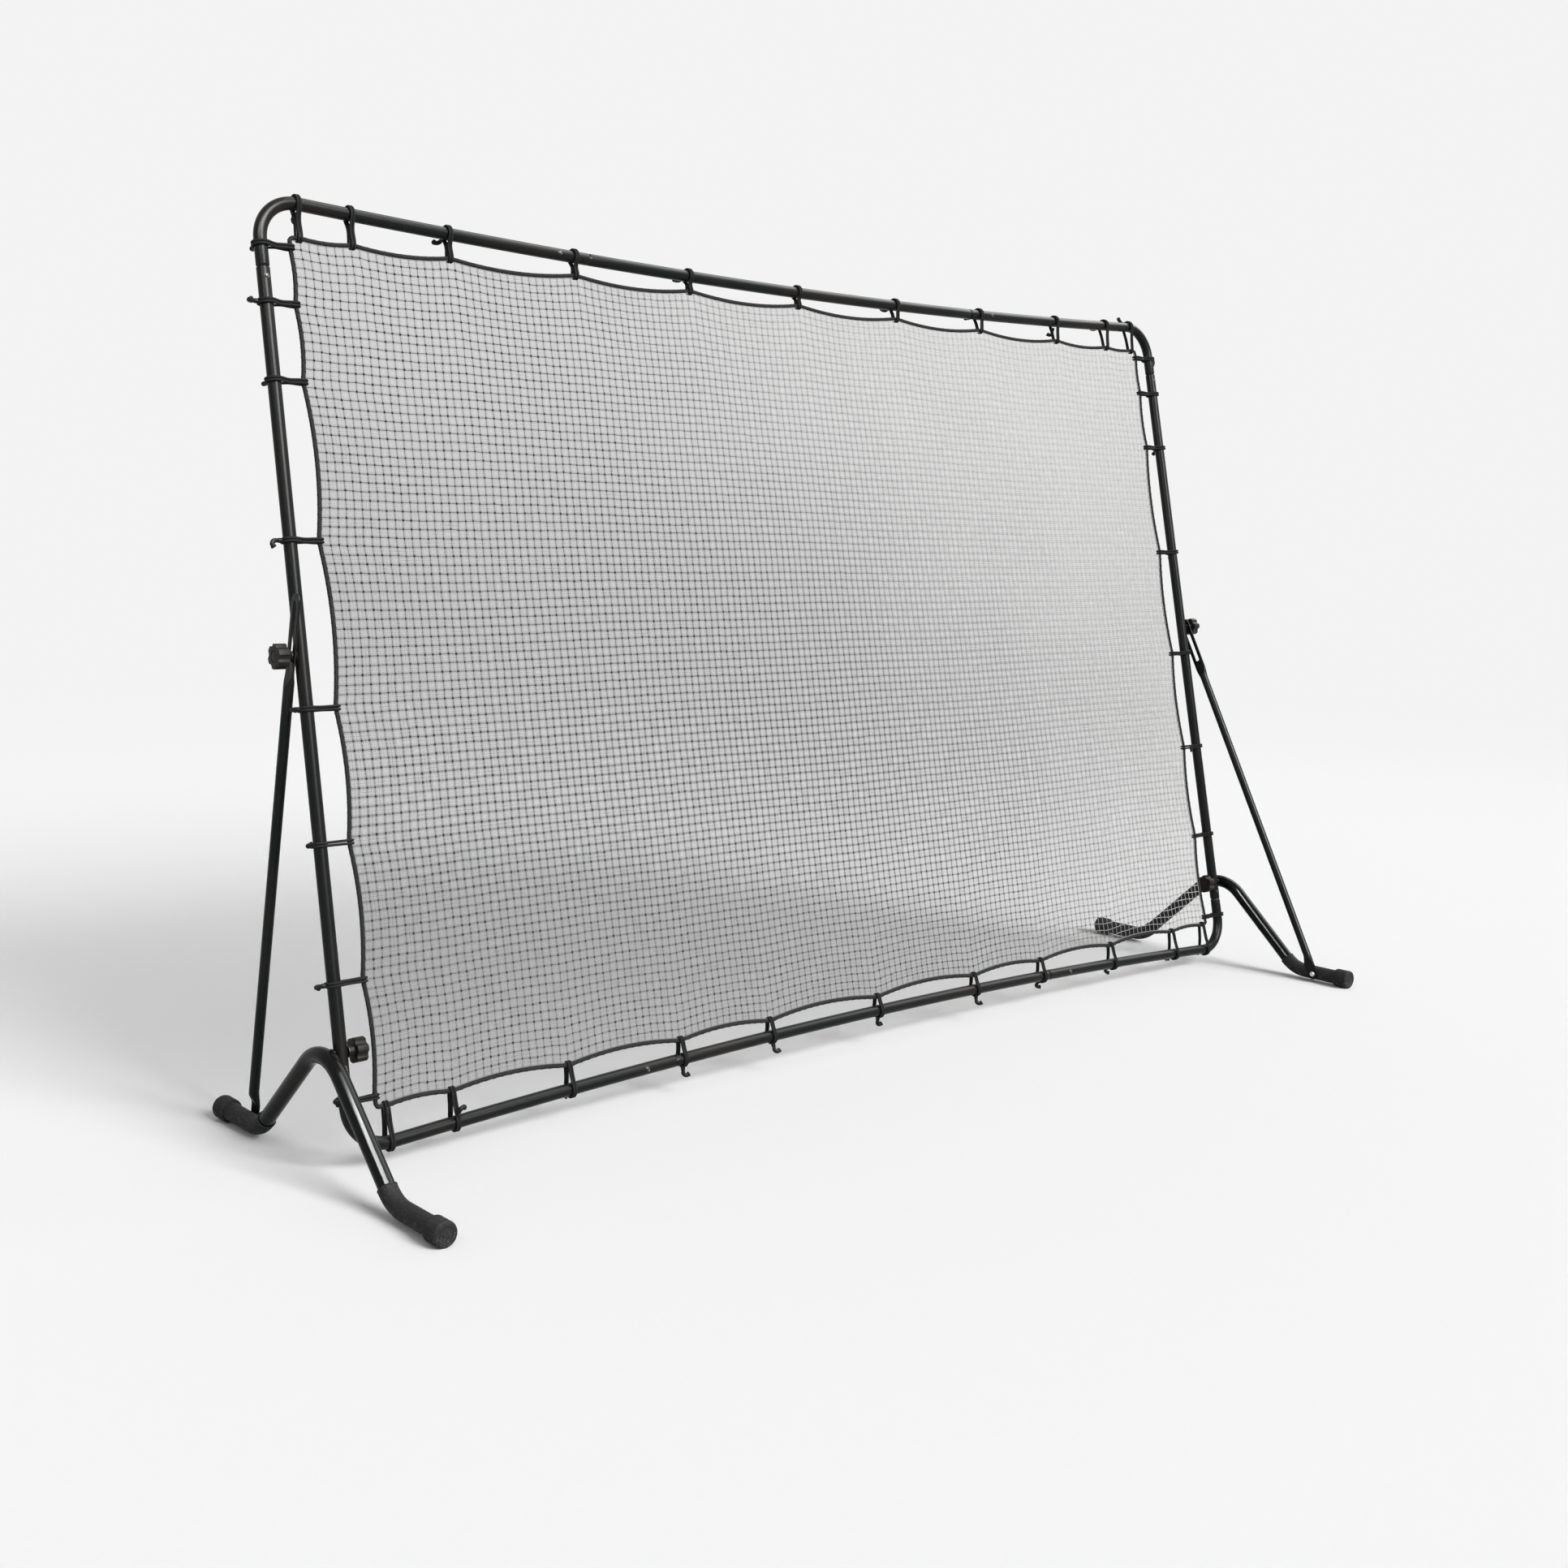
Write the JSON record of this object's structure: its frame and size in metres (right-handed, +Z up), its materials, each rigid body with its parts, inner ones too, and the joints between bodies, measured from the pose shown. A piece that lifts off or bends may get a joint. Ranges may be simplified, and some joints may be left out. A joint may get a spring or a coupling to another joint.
{
  "type": "tennis rebound net",
  "caption": "Leaning tube frame with a net tied inside it by elastic loops, tilting between two bent-tube stands with slotted struts and star knobs.",
  "frame": {"origin": "on the floor, midway between the two stands, under the lower bolts that the frame tilts on", "axes": "+X along the net from the left stand to the right one, +Y towards the side the frame leans back to, +Z up"},
  "size_m": [3.1252, 0.916, 1.9844],
  "materials": {
    "frame_paint": "glossy black powder coat on steel tube",
    "stand_paint": "glossy black powder coat on steel tube",
    "strut_paint": "black powder coat on steel tube",
    "sleeve_rubber": "matt black rubber",
    "knob_plastic": "satin black plastic moulded on a steel bolt",
    "tie_elastic": "black braided elastic",
    "net_twine": "black knotted twine",
    "border_rope": "black braided cord"
  },
  "bodies": {
    "frame": {"corner_tube_bottom_left": "frame_paint", "corner_tube_bottom_right": "frame_paint", "corner_tube_top_left": "frame_paint", "corner_tube_top_right": "frame_paint", "middle_tube_bottom": "frame_paint", "middle_tube_top": "frame_paint", "post_left": "frame_paint", "post_right": "frame_paint", "netting": "net_twine", "border_rope": "border_rope", "tie_top_1": "tie_elastic", "tie_top_2": "tie_elastic", "tie_top_3": "tie_elastic", "tie_top_4": "tie_elastic", "tie_top_5": "tie_elastic", "tie_top_6": "tie_elastic", "tie_top_7": "tie_elastic", "tie_top_8": "tie_elastic", "tie_top_9": "tie_elastic", "tie_top_10": "tie_elastic", "tie_top_11": "tie_elastic", "tie_bottom_1": "tie_elastic", "tie_bottom_2": "tie_elastic", "tie_bottom_3": "tie_elastic", "tie_bottom_4": "tie_elastic", "tie_bottom_5": "tie_elastic", "tie_bottom_6": "tie_elastic", "tie_bottom_7": "tie_elastic", "tie_bottom_8": "tie_elastic", "tie_bottom_9": "tie_elastic", "tie_bottom_10": "tie_elastic", "tie_bottom_11": "tie_elastic", "tie_left_1": "tie_elastic", "tie_left_2": "tie_elastic", "tie_left_3": "tie_elastic", "tie_left_4": "tie_elastic", "tie_left_5": "tie_elastic", "tie_left_6": "tie_elastic", "tie_left_7": "tie_elastic", "tie_left_8": "tie_elastic", "tie_right_1": "tie_elastic", "tie_right_2": "tie_elastic", "tie_right_3": "tie_elastic", "tie_right_4": "tie_elastic", "tie_right_5": "tie_elastic", "tie_right_6": "tie_elastic", "tie_right_7": "tie_elastic", "tie_right_8": "tie_elastic"},
    "left_stand": {"stand_left": "stand_paint", "foot_sleeve_left_front": "sleeve_rubber", "foot_sleeve_left_rear": "sleeve_rubber"},
    "left_strut": {"strut_left": "strut_paint"},
    "left_upper_knob": {"upper_knob_left": "knob_plastic"},
    "left_lower_knob": {"lower_knob_left": "knob_plastic"},
    "right_stand": {"stand_right": "stand_paint", "foot_sleeve_right_front": "sleeve_rubber", "foot_sleeve_right_rear": "sleeve_rubber"},
    "right_strut": {"strut_right": "strut_paint"},
    "right_upper_knob": {"upper_knob_right": "knob_plastic"},
    "right_lower_knob": {"lower_knob_right": "knob_plastic"}
  },
  "joints": [
    {"name": "left_tilt", "type": "hinge", "parent": "frame", "child": "left_stand", "pos_m": [-1.5375, 0, 0.24657], "axis": [-1, 0, 0], "range_deg": [-1.5, 24.5]},
    {"name": "right_tilt", "type": "hinge", "parent": "frame", "child": "right_stand", "pos_m": [1.5375, 0, 0.24657], "axis": [-1, 0, 0], "range_deg": [-1.5, 24.5]},
    {"name": "left_strut_swing", "type": "hinge", "parent": "left_stand", "child": "left_strut", "pos_m": [-1.522, 0.35, 0.025], "axis": [1, 0, 0], "range_deg": [-1.06, 17.28]},
    {"name": "right_strut_swing", "type": "hinge", "parent": "right_stand", "child": "right_strut", "pos_m": [1.522, -0.35, 0.025], "axis": [1, 0, 0], "range_deg": [-1.06, 17.18]},
    {"name": "left_upper_knob_turn", "type": "hinge", "parent": "frame", "child": "left_upper_knob", "pos_m": [-1.5243, 0.15949, 1.03051], "axis": [1, 0, 0], "continuous": true},
    {"name": "left_lower_knob_turn", "type": "hinge", "parent": "frame", "child": "left_lower_knob", "pos_m": [-1.4857, 0, 0.24657], "axis": [1, 0, 0], "continuous": true},
    {"name": "right_upper_knob_turn", "type": "hinge", "parent": "frame", "child": "right_upper_knob", "pos_m": [1.5243, 0.15949, 1.03051], "axis": [1, 0, 0], "continuous": true},
    {"name": "right_lower_knob_turn", "type": "hinge", "parent": "frame", "child": "right_lower_knob", "pos_m": [1.4857, 0, 0.24657], "axis": [1, 0, 0], "continuous": true}
  ],
  "couplings": [
    {"joint": "right_tilt", "follows": "left_tilt", "ratio": 1},
    {"joint": "left_strut_swing", "follows": "left_tilt", "ratio": 0.704},
    {"joint": "right_strut_swing", "follows": "left_tilt", "ratio": 0.7}
  ]
}
